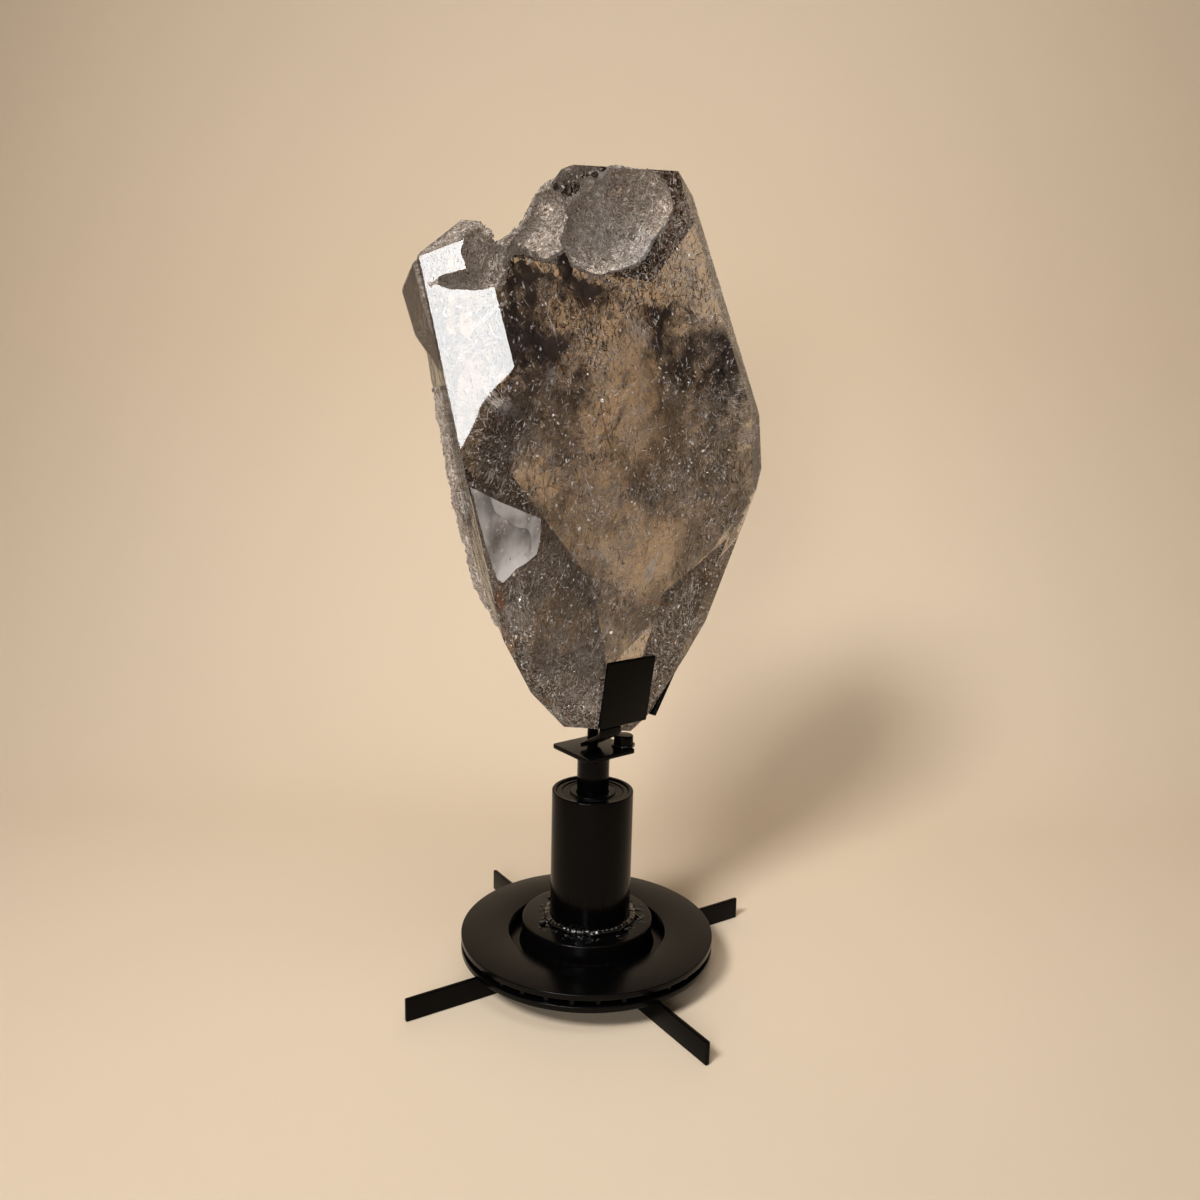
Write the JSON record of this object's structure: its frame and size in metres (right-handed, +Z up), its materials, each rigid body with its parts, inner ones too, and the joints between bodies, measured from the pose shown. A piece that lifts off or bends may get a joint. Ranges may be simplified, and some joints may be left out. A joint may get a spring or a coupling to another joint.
{
  "type": "rutilated quartz freeform on a swivel stand",
  "caption": "Polished smoky quartz freeform held upright by steel pads on a shaft that turns in a bearing, over a black vented disc with foot bars.",
  "frame": {"origin": "on the floor, on the swivel's axis", "axes": "+Z up along the swivel's axis, -Y towards the picture's viewer, +X to that viewer's right"},
  "size_m": [0.3678, 0.3678, 0.8561],
  "materials": {
    "black_steel": "gloss black paint over rolled and welded steel",
    "black_cast_iron": "gloss black paint over turned cast iron",
    "bearing_steel": "satin black paint over a steel bearing",
    "quartz": "polished clear smoky quartz with rutile needles and veils, natural broken patches"
  },
  "bodies": {
    "base": {"foot_right_rear": "black_steel", "foot_left_rear": "black_steel", "foot_left_front": "black_steel", "foot_right_front": "black_steel", "brake_disc": "black_cast_iron", "pipe": "black_steel", "pipe_weld": "black_steel", "bearing_outer_race": "bearing_steel", "bearing_shield": "bearing_steel"},
    "holder": {"bearing_inner_race": "bearing_steel", "shaft": "black_steel", "top_plate": "black_steel", "front_pad": "black_steel", "rear_pad": "black_steel", "front_arm": "black_steel", "rear_arm": "black_steel", "stub": "black_steel", "rest_post": "black_steel", "crystal": "quartz"}
  },
  "joints": [
    {"name": "swivel", "type": "hinge", "parent": "base", "child": "holder", "pos_m": [0, 0, 0.2], "axis": [0, 0, 1], "continuous": true}
  ]
}
